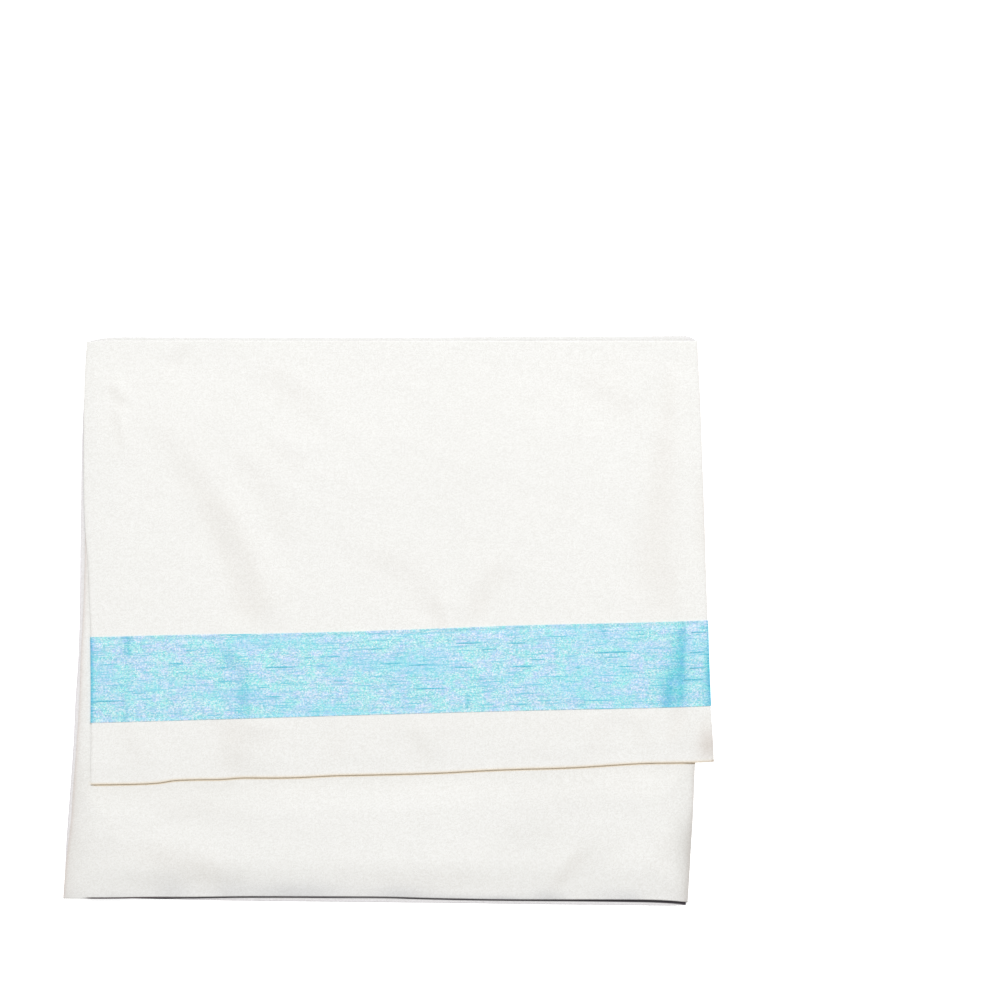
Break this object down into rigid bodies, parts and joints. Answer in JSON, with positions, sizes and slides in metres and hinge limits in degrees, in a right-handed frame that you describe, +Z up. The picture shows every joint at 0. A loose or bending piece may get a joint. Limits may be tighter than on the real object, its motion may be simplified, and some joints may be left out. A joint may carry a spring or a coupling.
{
  "type": "folded tallit prayer shawl",
  "caption": "Tallit prayer shawl of off-white silk-like cloth with a light blue raw-silk band near its front hem, folded in a zigzag and lying flat.",
  "frame": {"origin": "centre of the folded shawl's footprint, on the surface that it lies on", "axes": "+X to the right across the shawl, +Y up the shawl towards its top fold, +Z up from the surface"},
  "size_m": [0.4762, 0.4188, 0.009],
  "materials": {
    "shawl_cloth": "off-white silk-like cloth with a fine cross grain and a soft sheen",
    "band_silk": "light blue raw silk with darker slubs across it"
  },
  "bodies": {
    "root": {"front_fall": "shawl_cloth", "second_run": "shawl_cloth", "hidden_layers": "shawl_cloth", "colour_band": "band_silk"}
  },
  "joints": []
}
